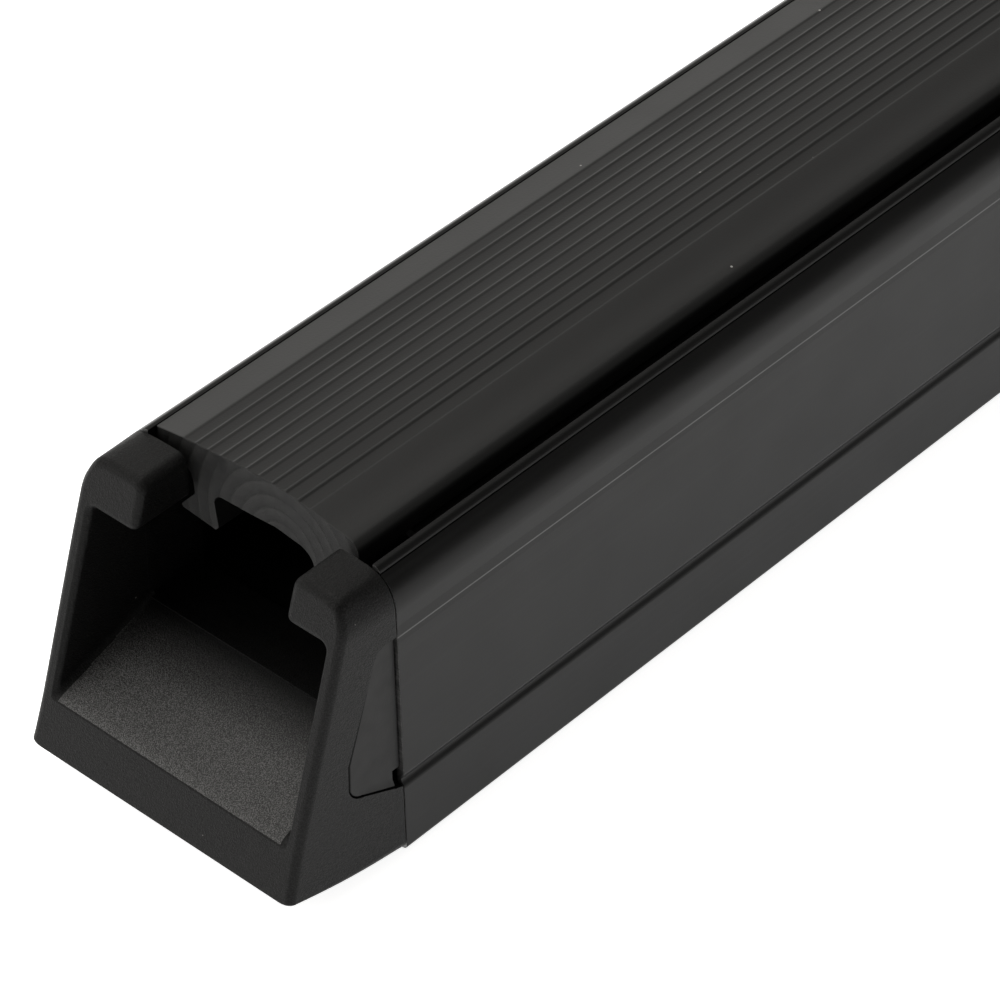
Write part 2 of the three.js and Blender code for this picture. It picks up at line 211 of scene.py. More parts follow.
def side_at(z):
    """Half width of the bar at a height."""
    return BASE_HALF - SIDE_LEAN * z


def arc(a, b, ra, rb, start, end, steps):
    """Points on an ellipse arc, angles in degrees from the first axis."""
    turns = np.radians(np.linspace(start, end, steps + 1))
    return [(a + ra * math.cos(t), b + rb * math.sin(t)) for t in turns]


def circle(a, b, radius, start, end, steps):
    return arc(a, b, radius, radius, start, end, steps)


def rectangle(a0, b0, a1, b1):
    return [(a0, b0), (a1, b0), (a1, b1), (a0, b1)]


def rounded_corner(before, here, after, radius, steps):
    """Points on the arc that rounds off a corner, within the room that its edges leave."""
    before, after = before - here, after - here
    room = 0.45 * min(np.linalg.norm(before), np.linalg.norm(after))
    u, v = before / np.linalg.norm(before), after / np.linalg.norm(after)
    half = math.acos(max(-1.0, min(1.0, float(u @ v)))) / 2
    reach = min(radius / math.tan(half), room)
    radius = reach * math.tan(half)
    centre = here + (u + v) / np.linalg.norm(u + v) * radius / math.sin(half)
    first = here + u * reach - centre
    last = here + v * reach - centre
    start = math.atan2(first[1], first[0])
    turn = (math.atan2(last[1], last[0]) - start + math.pi) % (2 * math.pi) - math.pi
    angles = [start + turn * k / steps for k in range(steps + 1)]
    return [(centre[0] + radius * math.cos(t), centre[1] + radius * math.sin(t)) for t in angles]


def fillet(corners, steps=5):
    """Outline through corners, where a corner (a, b, radius) is rounded and (a, b) is kept."""
    places = [np.array(corner[:2], float) for corner in corners]
    points = []
    for i, corner in enumerate(corners):
        if len(corner) < 3:
            points.append(tuple(places[i]))
            continue
        after = places[(i + 1) % len(corners)]
        points += rounded_corner(places[i - 1], places[i], after, corner[2], steps)
    return points


def both_sides(half):
    """Closes an outline drawn for y >= 0 with its mirror image."""
    other = [(-p[0], *p[1:]) for p in half if abs(p[0]) > 1e-9]
    return list(half) + other[::-1]


def shoulder_arc(to_y, steps):
    """The bar's shoulder, from its foot at the ridge in to a given y."""
    end = math.degrees(math.acos((to_y - SHOULDER_Y) / SHOULDER_RY))
    return arc(SHOULDER_Y, SHOULDER_Z, SHOULDER_RY, SHOULDER_RZ, 0, end, steps)


def side_groove():
    """The shallow groove low on the side, with a soft cosine section."""
    points = []
    for share in np.linspace(-1, 1, 13):
        z = GROOVE_Z + GROOVE_HALF * share
        points.append((side_at(z) - GROOVE_DEPTH * math.cos(share * math.pi / 2) ** 2, z))
    return points


def bar_outline():
    """Outer outline of the extrusion, in through the open channel and the lower slot."""
    foot = SHOULDER_Y + SHOULDER_RY
    slot = [
        (0, SLOT_TOP), (SLOT_HALF, SLOT_TOP, 0.5), (SLOT_HALF, SLOT_LIP, 0.3),
        (SLOT_MOUTH, SLOT_LIP, 0.3), (SLOT_MOUTH, 0, 0.4), (BASE_HALF, 0, 1.2),
    ]
    ridge = [(side_at(RIDGE - 1.2), RIDGE - 1.2, 2), (foot, RIDGE + 2.6, 2)]
    shoulder = shoulder_arc(RIM_OUTER + 0.2, 22)
    rim = [
        (RIM_OUTER, SHOULDER_Z + 6.6),
        *circle(RIM_OUTER - RIM_ROUND, RIM_TOP - RIM_ROUND, RIM_ROUND, 0, 90, 9),
        (RIM_INNER, RIM_TOP, 0.1), (RIM_INNER, LIP_TOP, 0.3),
    ]
    lip = [
        (LIP_NOSE, LIP_TOP, 2.2), (LIP_NOSE, LIP_BEAD, 0.3), (LIP_BEAD_END, LIP_BEAD, 0.3),
        (LIP_BEAD_END + 0.6, LIP_UNDER, 0.4), (foot - WALL, LIP_UNDER, 0.4),
    ]
    channel = [
        (side_at(RIDGE) - WALL, RIDGE - 1, 0.4), (side_at(WEB_TOP) - WALL, WEB_TOP, 0.6),
        (0, WEB_TOP),
    ]
    return fillet(both_sides([*slot, *side_groove(), *ridge, *shoulder, *rim, *lip, *channel]))


def lower_hollow():
    """The closed compartment that wraps round the lower slot."""
    wall = SLOT_HALF + SLOT_SKIN
    return fillet(both_sides([
        (0, SLOT_TOP + SLOT_SKIN), (wall, SLOT_TOP + SLOT_SKIN, 0.5), (wall, SLOT_LIP, 0.5),
        (side_at(SLOT_LIP) - WALL, SLOT_LIP, 0.6),
        (side_at(WEB_BOTTOM) - WALL, WEB_BOTTOM, 0.6), (0, WEB_BOTTOM),
    ]))


def crown_at(y):
    """Height of the crown, by a smooth curve through its points."""
    ys, zs = CROWN.T
    slope = np.gradient(zs, ys)
    i = min(max(int(np.searchsorted(ys, y)) - 1, 0), len(ys) - 2)
    span, rise = ys[i + 1] - ys[i], zs[i + 1] - zs[i]
    t = (y - ys[i]) / span
    bend = (1 - t) * slope[i] - t * slope[i + 1] - (1 - 2 * t) * rise / span
    return zs[i] + t * rise + t * (1 - t) * span * bend


def strip_top(y):
    """The crown; its ribbed part is sunk and fluted between small crests at the rib lines."""
    rib = (RIB_FIRST - y) / RIB_PITCH
    if not 0 < rib < RIB_COUNT - 1:
        return crown_at(y)
    off = abs(rib - round(rib)) * RIB_PITCH
    crest = CREST_HEIGHT * math.cos(min(off / CREST_HALF, 1) * math.pi / 2) ** 2
    flute = FLUTE_DEPTH * 4 * (rib % 1) * (1 - rib % 1)
    return crown_at(y) - CREST_HEIGHT + crest - flute


def strip_crown():
    """Points over the strip's top, close enough together across the ribs to draw each one."""
    last_rib = RIB_FIRST - (RIB_COUNT - 1) * RIB_PITCH
    ys = [
        *np.arange(STRIP_FRONT + 3, last_rib - 0.9, 0.8),
        *np.linspace(last_rib - 0.6, RIB_FIRST + 0.6, 260),
        *np.arange(RIB_FIRST + 1.2, STRIP_REAR - 0.5, 0.8),
    ]
    return [(y, strip_top(y)) for y in ys]


def strip_outline():
    """Outline of the rubber strip: over its top from the front, then back along its legs."""
    seat = LIP_TOP + FIT
    front_edge = [(STRIP_FRONT, STRIP_EDGE), *circle(STRIP_FRONT + 2.4, 62.9, 2.4, 180, 98, 9)]
    rear_edge = [
        (STRIP_REAR, crown_at(STRIP_REAR), 0.14), (STRIP_REAR, STRIP_EDGE),
        (STRIP_REAR - 0.8, seat, 0.4),
    ]
    hooked_leg = [
        (21.6, seat, 0.9), (19.4, 58.6, 0.9), (18.8, 56.6, 0.8), (18.5, 54, 0.8),
        (22.2, 49.6, 0.35), (21.8, 48.9, 0.3), (13.4, 48.1, 0.3), (12.7, 49, 0.3),
        (13.6, 54.6), *circle(11.3, 54.6, 2.1, 10, 90, 8)[1:],
    ]
    middle = [(4, 57, 4), (-2, 57.5, 4)]
    plain_leg = [
        *arc(-6.8, 53.2, 4.5, 3.7, 90, 180, 10), (-11.3, 50, 0.5), (-14.8, 50, 0.5), (-15, 56),
        *circle(-18.2, 56.6, 3.2, 0, 90, 8), (STRIP_FRONT + 0.6, seat, 0.3),
    ]
    return fillet([*front_edge, *strip_crown(), *rear_edge, *hooked_leg, *middle, *plain_leg])


def infill_outline():
    """Section of the slot infill, with a barb that catches behind each of the slot's lips."""
    lip = SLOT_LIP + FIT
    return fillet(both_sides([
        (0, FIT), (INFILL_HALF, FIT, 0.5), (INFILL_HALF, lip - 0.1, 0.15),
        (INFILL_BARB, lip + 0.2, 0.25), (INFILL_NECK, INFILL_TOP, 0.4), (0, INFILL_TOP),
    ]))


def cap_half_outline(horn_inner, horn_bottom):
    """Half of the cap's frame, from the middle of its underside round to the tray's middle."""
    nose, chin, root = HORN_NOSE_ROUND, HORN_CHIN_ROUND, HORN_ROOT_ROUND
    side = [
        *[(y, 0) for y in (0, 10, 20, 28)],
        *circle(BASE_HALF - CAP_CORNER, CAP_CORNER, CAP_CORNER, -90, 0, 8),
        *[(side_at(z), z) for z in (6, 11, 17, 23, 29, 35, 42, RIDGE - 2)],
    ]
    horn = [
        *shoulder_arc(28.6, 18), (27, HORN_TOP - 0.2), (24, HORN_TOP - 0.05),
        *circle(horn_inner + nose, HORN_TOP - nose, nose, 90, 180, 10),
        *circle(horn_inner + chin, horn_bottom + chin, chin, 180, 270, 8),
        (23.5, horn_bottom), *circle(CAP_INNER - root, horn_bottom - root, root, 90, 0, 8),
    ]
    tray = [
        *[(CAP_INNER, z) for z in (48, 42, 36, 31)],
        *circle(CAP_INNER - TRAY_ROUND, TRAY_TOP + TRAY_ROUND, TRAY_ROUND, 0, -90, 8),
        *[(y, TRAY_TOP) for y in (25.5, 23, 20, 17, 8, 0)],
    ]
    return side + horn + tray


def cap_outline():
    """The whole frame: the rear half, then the front half mirrored and taken backwards."""
    front = [(-y, z) for y, z in cap_half_outline(*FRONT_HORN)[1:-1]]
    return cap_half_outline(*REAR_HORN) + front[::-1]


def tongue_window(margin, back):
    """Outline in (x, z) of the spring tongue's window, grown by a margin."""
    return [
        (back, 16 - margin), (-0.9, 16.4 - margin), (-7, 18.8 - margin), (-9.6, 19.8 - margin),
        *circle(-9.1, 23.8, 4 + margin, 258, 190, 12),
        (-12.9 - margin, 29), (-9.3 - margin, 38.8), (-5.6 - margin, 49.3),
        (-4.4 - margin * 0.7, 50.9 + margin * 0.7), (-2.9, 51.5 + margin),
        (back, 51.6 + margin),
    ]


# ---- mesh making --------------------------------------------------------------------------
def make_object(name, points, faces):
    """A mesh object from points in millimetres, with its normals facing out."""
    mesh = bpy.data.meshes.new(name)
    mesh.from_pydata([tuple(c * MM for c in p) for p in points], [], faces)
    built = bmesh.new()
    built.from_mesh(mesh)
    bmesh.ops.remove_doubles(built, verts=built.verts, dist=1e-7)
    bmesh.ops.recalc_face_normals(built, faces=built.faces)
    built.to_mesh(mesh)
    built.free()
    obj = bpy.data.objects.new(name, mesh)
    bpy.context.scene.collection.objects.link(obj)
    return obj


def inset(outline, amount):
    """The outline moved inwards by an amount, each point along its own corner's bisector."""
    p = np.array(outline, float)
    area = 0.5 * np.sum(p[:, 0] * np.roll(p[:, 1], -1) - np.roll(p[:, 0], -1) * p[:, 1])
    edge = np.roll(p, -1, 0) - p
    edge /= np.linalg.norm(edge, axis=1)[:, None]
    normal = np.c_[-edge[:, 1], edge[:, 0]] * np.sign(area)
    other = np.roll(normal, 1, 0)
    return p + amount * (normal + other) / (1 + np.sum(normal * other, 1))[:, None]


def clean(outline, least=1e-3):
    """The outline without points that lie on top of the one before."""
    kept = []
    for point in outline:
        if not kept or math.dist(point, kept[-1]) > least:
            kept.append(tuple(point))
    if math.dist(kept[0], kept[-1]) <= least:
        kept.pop()
    return kept


def fill(loops):
    """Faces over a flat outline with holes, as numbers into the joined loops."""
    if len(loops) == 1:
        return [tuple(range(len(loops[0])))]
    return tessellate_polygon([[Vector((a, b, 0)) for a, b in loop] for loop in loops])


def band(low, high, size):
    """Faces between two rings of points, each ring given by its first point's number."""
    steps = [(i, (i + 1) % size) for i in range(size)]
    return [(low + i, low + j, high + j, high + i) for i, j in steps]


def shrink(outlines, amount):
    """An outline moved inwards by an amount, and its holes made wider by it."""
    return [inset(outline, -amount if k else amount) for k, outline in enumerate(outlines)]


def prism(name, outlines, stations, axes="x"):
    """A closed solid through stations [(place, inset), ...] of an outline and its holes."""
    outlines = [clean(outline) for outline in outlines]
    count = sum(len(outline) for outline in outlines)
    points, faces = [], []
    for along, amount in stations:
        for outline in shrink(outlines, amount):
            points += [(along, a, b) if axes == "x" else (a, along, b) for a, b in outline]
    start = 0
    for outline in outlines:
        for s in range(len(stations) - 1):
            faces += band(s * count + start, (s + 1) * count + start, len(outline))
        start += len(outline)
    ends = fill(shrink(outlines, stations[0][1]))
    last = (len(stations) - 1) * count
    faces += [tuple(face) for face in ends]
    faces += [tuple(last + i for i in face) for face in ends]
    return make_object(name, points, faces)


def loft(name, rings):
    """A closed solid skinned over rings of equally many points."""
    size = len(rings[0])
    points = [point for ring in rings for point in ring]
    faces = [tuple(range(size)), tuple(len(points) - size + i for i in range(size))]
    for r in range(len(rings) - 1):
        faces += band(r * size, (r + 1) * size, size)
    return make_object(name, points, faces)


def rounded_stations(low, high, radius, steps=3):
    """Stations of a prism whose two end edges are rounded."""
    turns = np.linspace(0, math.pi / 2, steps + 1)
    near = [(low + radius * (1 - math.cos(t)), radius * (1 - math.sin(t))) for t in turns]
    return near + [(low + high - along, amount) for along, amount in near[::-1]]


def block(name, low, high):
    """A box-shaped solid between two opposite corners."""
    x0, y0, z0 = low
    x1, y1, z1 = high
    return prism(name, [rectangle(y0, z0, y1, z1)], [(x0, 0), (x1, 0)])


def combine(target, tool, operation):
    """Applies a boolean of target with tool, and removes the tool."""
    modifier = target.modifiers.new("combine", "BOOLEAN")
    modifier.operation = operation
    modifier.solver = "EXACT"
    modifier.object = tool
    graph = bpy.context.evaluated_depsgraph_get()
    made = bpy.data.meshes.new_from_object(target.evaluated_get(graph))
    target.modifiers.clear()
    old = target.data
    target.data = made
    bpy.data.meshes.remove(old)
    bpy.data.objects.remove(tool)
    return target


def soften(obj, width, limit=35, segments=2):
    """A small round on every edge sharper than the limit, in the mesh itself."""
    modifier = obj.modifiers.new("soften", "BEVEL")
    modifier.width = width * MM
    modifier.segments = segments
    modifier.limit_method = "ANGLE"
    modifier.angle_limit = math.radians(limit)
    modifier.use_clamp_overlap = True
    modifier.miter_outer = "MITER_ARC"
    return obj


def smooth(obj, angle=32):
    """Smooth shading that breaks at hard edges and keeps large faces flat."""
    obj.data.shade_smooth()
    obj.data.set_sharp_from_angle(angle=math.radians(angle))
    modifier = obj.modifiers.new("flat faces", "WEIGHTED_NORMAL")
    modifier.keep_sharp = True
    modifier.weight = 100
    return obj


def place(obj, body, nodes, materials):
    """Gives a finished piece its materials and its body, and hides the CAD nodes it stands for."""
    for material in materials:
        obj.data.materials.append(material)
    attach(obj, body)
    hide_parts(*nodes)
    return obj


# ---- materials ----------------------------------------------------------------------------
# Texture scales are per metre, and the depth of each bump layer is in millimetres.
class Finish:
    """A node material on the Principled shader, with short ways to add textures."""

    def __init__(self, name, **values):
        self.material = bpy.data.materials.new(name)
        self.material.use_nodes = True
        self.tree = self.material.node_tree
        self.shader = self.tree.nodes["Principled BSDF"]
        for socket, value in values.items():
            self.shader.inputs[socket.replace("_", " ")].default_value = value
        self.coordinates = self.tree.nodes.new("ShaderNodeTexCoord").outputs["Object"]

    def node(self, kind, inputs=(), **settings):
        made = self.tree.nodes.new(kind)
        for key, value in settings.items():
            setattr(made, key, value)
        for key, value in dict(inputs).items():
            if isinstance(value, bpy.types.NodeSocket):
                self.tree.links.new(value, made.inputs[key])
            else:
                made.inputs[key].default_value = value
        return made

    def stretched(self, x, y, z):
        scale = self.node("ShaderNodeMapping", {"Vector": self.coordinates, "Scale": (x, y, z)})
        return scale.outputs["Vector"]

    def noise(self, scale, detail=2.0, vector=None, roughness=0.5):
        made = self.node("ShaderNodeTexNoise", {
            "Vector": vector or self.coordinates, "Scale": scale, "Detail": detail,
            "Roughness": roughness})
        return made.outputs["Fac"]

    def remap(self, value, low, high, to_low=0.0, to_high=1.0):
        made = self.node("ShaderNodeMapRange", {
            "Value": value, "From Min": low, "From Max": high, "To Min": to_low,
            "To Max": to_high})
        return made.outputs["Result"]

    def math(self, operation, a, b):
        made = self.node("ShaderNodeMath", operation=operation)
        for socket, value in zip(made.inputs, (a, b)):
            if isinstance(value, bpy.types.NodeSocket):
                self.tree.links.new(value, socket)
            else:
                socket.default_value = value
        return made.outputs[0]

    def specks(self, scale, share, size):
        """Scattered dots: 1 inside a few random cells' centres, 0 elsewhere."""
        cell = self.node("ShaderNodeTexVoronoi", {"Vector": self.coordinates, "Scale": scale})
        near = self.remap(cell.outputs["Distance"], size, size * 0.6)
        pick = self.node("ShaderNodeSeparateColor", {"Color": cell.outputs["Color"]})
        chosen = self.math("LESS_THAN", pick.outputs["Red"], share)
        return self.math("MULTIPLY", near, chosen)

    def mix(self, factor, a, b):
        made = self.node("ShaderNodeMix", data_type="RGBA")
        for key, value in (("Factor", factor), ("A", a), ("B", b)):
            socket = next(s for s in made.inputs if s.name == key and s.enabled)
            if isinstance(value, bpy.types.NodeSocket):
                self.tree.links.new(value, socket)
            else:
                socket.default_value = value
        return next(s for s in made.outputs if s.enabled)

    def colour(self, value):
        self.tree.links.new(value, self.shader.inputs["Base Color"])

    def shine(self, value):
        self.tree.links.new(value, self.shader.inputs["Specular IOR Level"])

    def rough(self, value):
        self.tree.links.new(value, self.shader.inputs["Roughness"])

    def bump(self, *layers):
        """Stacks (height, distance in millimetres) layers into the surface normal."""
        normal = None
        for height, distance in layers:
            inputs = {"Height": height, "Distance": distance * MM, "Strength": 1.0}
            if normal is not None:
                inputs["Normal"] = normal
            normal = self.node("ShaderNodeBump", inputs).outputs["Normal"]
        self.tree.links.new(normal, self.shader.inputs["Normal"])


def grey(value, warm=0.0):
    return (value * (1 + warm), value, value * (1 - warm), 1)


DUST = grey(0.45, 0.04)


def coated_aluminium():
    """Satin black powder coat: orange peel, faint die lines, dust and a shinier ridge line."""
    f = Finish("coated_aluminium_satin")
    up = f.node("ShaderNodeSeparateXYZ", {"Vector": f.coordinates}).outputs["Z"]
    off_ridge = f.math("ABSOLUTE", f.math("SUBTRACT", up, (RIDGE + 0.2) * MM), 0)
    worn = f.remap(off_ridge, 0.05 * MM, 0.22 * MM, 1, 0)
    f.shine(f.remap(worn, 0, 1, 0.16, 0.7))
    cloud = f.noise(9, 4, f.stretched(0.25, 1, 1))
    streak = f.noise(700, 3, f.stretched(0.01, 1, 1))
    base = f.mix(f.remap(cloud, 0.35, 0.65), grey(0.003), grey(0.004, 0.03))
    base = f.mix(f.math("MULTIPLY", f.remap(streak, 0.55, 0.8), 0.5), base, grey(0.01))
    base = f.mix(f.math("MULTIPLY", f.specks(170, 0.02, 0.1), 0.5), base, DUST)
    f.colour(base)
    f.rough(f.remap(f.noise(60, 4), 0.3, 0.7, 0.3, 0.38))
    f.bump((f.noise(1500, 2), 0.006), (streak, 0.005))
    return f.material


def cut_aluminium():
    """Bare sawn end: fine parallel saw lines over dull metal."""
    f = Finish("coated_aluminium_sawn", Metallic=1.0)
    lines = f.noise(5200, 3, f.stretched(1, 0.06, 1))
    f.colour(f.mix(f.remap(lines, 0.3, 0.7), grey(0.12), grey(0.25, 0.01)))
    f.rough(f.remap(f.noise(400, 3), 0.3, 0.7, 0.36, 0.52))
    f.bump((lines, 0.03))
    return f.material


def strip_rubber():
    """Matt extruded rubber: fine grain, faint die lines, dust, and a shinier plain band at the rear."""
    f = Finish("strip_rubber_matt")
    across = f.node("ShaderNodeSeparateXYZ", {"Vector": f.coordinates}).outputs["Y"]
    band = f.remap(across, (RIB_FIRST - 0.4) * MM, (RIB_FIRST + 0.4) * MM)
    f.shine(f.remap(band, 0, 1, 0.33, 0.68))
    cloud = f.noise(14, 5, f.stretched(0.2, 1, 1))
    die = f.noise(900, 2, f.stretched(0.008, 1, 1))
    base = f.mix(f.remap(cloud, 0.35, 0.65), grey(0.004), grey(0.006, 0.03))
    base = f.mix(f.math("MULTIPLY", f.specks(420, 0.035, 0.12), 0.8), base, DUST)
    f.colour(base)
    f.rough(f.remap(f.noise(45, 4), 0.3, 0.7, 0.42, 0.5))
    f.bump((f.noise(2400, 2), 0.022), (die, 0.014))
    return f.material


def strip_end_rubber():
    """The knife-cut end of the strip: drag lines in rings about a point between its legs."""
    f = Finish("strip_rubber_cut", Specular_IOR_Level=0.3)
    bent = f.node("ShaderNodeMapping", {"Vector": f.coordinates, "Location": (0, 0.004, -0.054)})
    wave = f.node("ShaderNodeTexWave", {
        "Vector": bent.outputs["Vector"], "Scale": 115, "Distortion": 2.2, "Detail": 2.0,
        "Detail Scale": 40.0, "Detail Roughness": 0.6},
        wave_type="RINGS", rings_direction="X", wave_profile="SAW").outputs["Fac"]
    patch = f.remap(f.noise(120, 2), 0.3, 0.5)
    mark = f.math("MULTIPLY", wave, patch)
    f.colour(f.mix(f.math("MULTIPLY", mark, 0.5), grey(0.007), grey(0.04, 0.02)))
    f.rough(f.remap(f.noise(500, 3), 0.3, 0.7, 0.5, 0.62))
    f.bump((mark, 0.16), (f.noise(2600, 2), 0.02))
    return f.material


def textured_plastic(name, shine, grain, height, base_low, base_high, painted_shade_span):
    """Black moulded plastic, whose lighter grain and shine go from faint to full between two values of
    |x|: painted shade towards the bar's end.
    """
    f = Finish(name)
    along = f.node("ShaderNodeSeparateXYZ", {"Vector": f.coordinates}).outputs["X"]
    # painted shade: share is 0 towards the bar's end, where the strip and horns shadow the tray, and 1
    # past the span; it dims the shine and the grain's colour
    share = f.remap(f.math("ABSOLUTE", along, 0), painted_shade_span[0] * MM, painted_shade_span[1] * MM)
    f.shine(f.remap(share, 0, 1, shine * 0.3, shine))
    fine = f.noise(grain, 2.5, roughness=0.6)
    sparkle = f.noise(grain * 1.3, 1)
    # the grain's lighter colour, dimmed by the painted shade
    grain_and_painted_shade = f.math("MULTIPLY", f.remap(sparkle, 0.42, 0.68), share)
    base = f.mix(grain_and_painted_shade, grey(base_low), grey(base_high, 0.02))
    base = f.mix(f.math("MULTIPLY", f.specks(420, 0.03, 0.08), 0.6), base, DUST)
    f.colour(base)
    f.rough(f.remap(fine, 0.3, 0.7, 0.38, 0.56))
    f.bump((fine, height), (f.noise(grain * 0.35, 2), height * 0.4))
    return f.material


def smooth_plastic():
    """Plainer moulded face of the spring tongues, with faint flow marks."""
    f = Finish("smooth_plastic_moulded", Specular_IOR_Level=0.165)
    flow = f.noise(160, 3, f.stretched(1, 1, 0.3))
    f.colour(f.mix(f.remap(flow, 0.35, 0.65), grey(0.004), grey(0.006, 0.02)))
    f.rough(f.remap(f.noise(300, 3), 0.3, 0.7, 0.4, 0.48))
    f.bump((f.noise(2200, 2), 0.012), (flow, 0.01))
    return f.material


def zinc_steel():
    """Zinc plate with a light crystalline mottle."""
    f = Finish("zinc_steel_plated", Metallic=1.0)
    spangle = f.node("ShaderNodeTexVoronoi", {"Vector": f.coordinates, "Scale": 900.0})
    mottle = f.noise(350, 4)
    f.colour(f.mix(f.remap(mottle, 0.35, 0.65), grey(0.3), grey(0.42, 0.02)))
    f.rough(f.remap(mottle, 0.3, 0.7, 0.26, 0.42))
    f.bump((spangle.outputs["Distance"], 0.01), (f.noise(3000, 2), 0.006))
    return f.material


def infill_rubber():
    """Extruded rubber of the slot infill, duller than the strip."""
    f = Finish("infill_rubber_matt", Specular_IOR_Level=0.3)
    die = f.noise(1100, 2, f.stretched(0.008, 1, 1))
    f.colour(f.mix(f.remap(f.noise(20, 4), 0.35, 0.65), grey(0.006), grey(0.009, 0.02)))
    f.rough(f.remap(f.noise(70, 4), 0.3, 0.7, 0.55, 0.68))
    f.bump((f.noise(2400, 2), 0.015), (die, 0.014))
    return f.material


# ---- pieces -------------------------------------------------------------------------------
def cut_lips(bar, end):
    """Cuts the strip's lips back at a slant, near one end of the bar."""
    outer, inner = BAR_END + 1, BAR_END - LIP_NOTCH
    low, high = LIP_BEAD - 1, LIP_TOP + 0.1
    outline = [
        (end * outer, low), (end * (inner - LIP_UNDERCUT), low),
        (end * inner, high), (end * outer, high),
    ]
    notch = prism("notch", [outline], [(-RIM_INNER, 0), (RIM_INNER, 0)], axes="y")
    combine(bar, notch, "DIFFERENCE")


def build_bar():
    bar = prism("crossbar", [bar_outline(), lower_hollow()],
                rounded_stations(-BAR_END, BAR_END, DEBURR))
    for end in (-1, 1):
        cut_lips(bar, end)
    for face in bar.data.polygons:
        at_end = abs(face.center.x) > (BAR_END - 0.5) * MM
        face.material_index = int(at_end and abs(face.normal.x) > 0.95)
    smooth(bar)
    return place(bar, "bar", ["crossbar_extrusion"],
                 [coated_aluminium(), cut_aluminium()])


def build_strip():
    strip = prism("rubber_strip", [strip_outline()],
                  rounded_stations(STRIP_LOW[0], STRIP_HIGH[0], STRIP_END_ROUND))
    for face in strip.data.polygons:
        face.material_index = int(abs(face.normal.x) > 0.9)
    smooth(strip, 50)
    return place(strip, "bar", ["top_rubber_strip"],
                 [strip_rubber(), strip_end_rubber()])


def cap_slope(z):
    """Slope that a point of the cap takes along its depth, by its height."""
    level = REAR_HORN[1] - 3
    if z < TRAY_TOP:
        return UNDERSIDE_RISE + (-TRAY_FALL - UNDERSIDE_RISE) * z / TRAY_TOP
    return -TRAY_FALL * (1 - (min(z, level) - TRAY_TOP) / (level - TRAY_TOP))


def shape_cap(obj):
    """Leans the front plane back, lifts the underside, drops the tray and drafts the walls."""
    for vertex in obj.data.vertices:
        x, y, z = vertex.co / MM
        slope = cap_slope(z)
        depth = (-x - CAP_TILT * (z - CAP_REACH_Z)) / (1 + CAP_TILT * slope)
        outward = clamp((abs(y) - CAP_INNER - 0.5) / 3)
        draft = INNER_DRAFT + (OUTER_DRAFT - INNER_DRAFT) * outward
        share = clamp((abs(y) - REAR_HORN[0]) / (CAP_INNER - 1 - REAR_HORN[0]))
        in_leg = share * share * (3 - 2 * share)
        bow = UNDERSIDE_BOW * math.sin(math.pi * clamp(depth / CAP_DEPTH)) * clamp(1 - z / TRAY_TOP)
        shift = in_leg * draft * depth * (1 if y > 0 else -1)
        vertex.co = Vector((-depth, y + shift, max(z + slope * depth - bow, CAP_LOWEST))) * MM


def cap_frame():
    """The frame swept well past the bar's end face, shaped, then cut off flat at that face."""
    front = -CAP_DEPTH
    turns = np.linspace(0, math.pi / 2, 8)
    stations = [(front + CAP_ROUND * (1 - math.cos(t)), CAP_ROUND * (1 - math.sin(t)))
                for t in turns]
    stations += [(x, 0) for x in np.linspace(front + CAP_ROUND, SWEEP_END, 27)[1:]]
    cap = prism("cap", [cap_outline()], stations)
    shape_cap(cap)
    return combine(cap, block("behind", (0, -60, -60), (90, 60, 120)), "DIFFERENCE")


def sleeve_ring(x0, x1, inner, floor):
    """A length of the lining that slides into the bar."""
    def outer(z):
        return side_at(z) - WALL - SLEEVE_GAP
    outline = both_sides([
        (0, SLEEVE_BOTTOM), (outer(SLEEVE_BOTTOM), SLEEVE_BOTTOM), (outer(RIDGE - 2), RIDGE - 2),
        (SLEEVE_SHOULDER, RIDGE + 1), (SLEEVE_SHOULDER, SLEEVE_TOP), (inner, SLEEVE_TOP),
        (inner, floor), (0, floor),
    ])
    return prism("sleeve", [outline], [(x0, 0), (x1, 0)])


def side_prism(name, outline, side, near, far):
    """An (x, z) outline pulled across between |y| = near and far, on one side of the cap."""
    low, high = sorted((near * side, far * side))
    return prism(name, [outline], [(low, 0), (high, 0)], axes="y")


def add_sleeve(cap):
    """Joins on what goes into the bar: the bead at its end face, the sleeve and the blades."""
    inner, floor = CAP_INNER + BEAD_SIDE_STEP, TRAY_TOP - BEAD_FLOOR_STEP
    combine(cap, sleeve_ring(BEAD_FRONT, BEAD_BACK, CAP_INNER, TRAY_TOP), "UNION")
    combine(cap, sleeve_ring(0, SLEEVE_DEPTH, inner, floor), "UNION")
    for side in (-1, 1):
        low, high = sorted((BLADE_INNER * side, BLADE_OUTER * side))
        blade = block("blade", (-1, low, BLADE_BOTTOM), (BLADE_END, high, BLADE_TOP))
        combine(cap, blade, "UNION")


def cut_side(cap, side):
    """Cuts the hollow under the tray, the tongue's window, its tab's room and a notch."""
    hollow = [(1, 3), (1, 22.4), (-22.6, 14), (-23.8, 7.2)]
    tab_room = rectangle(-1, TAB_BOTTOM - 0.8, TAB_LENGTH + 0.6, TAB_TOP + 0.8)
    notch = rectangle(-NOTCH_REACH, NOTCH_BOTTOM, 1, NOTCH_TOP)
    tools = [
        side_prism("hollow", hollow, side, HOLLOW_RIB, HOLLOW_SIDE),
        side_prism("window", tongue_window(0, 0.4), side, POCKET_FLOOR, OUTSIDE),
        side_prism("tab_room", tab_room, side, POCKET_FLOOR, OUTSIDE),
        side_prism("notch", notch, side, HOLLOW_SIDE - 2, OUTSIDE),
    ]
    for tool in tools:
        combine(cap, tool, "DIFFERENCE")


def build_cap_mesh():
    """The left cap with the bar's end face at x = 0."""
    cap = cap_frame()
    add_sleeve(cap)
    for side in (-1, 1):
        cut_side(cap, side)
    return cap


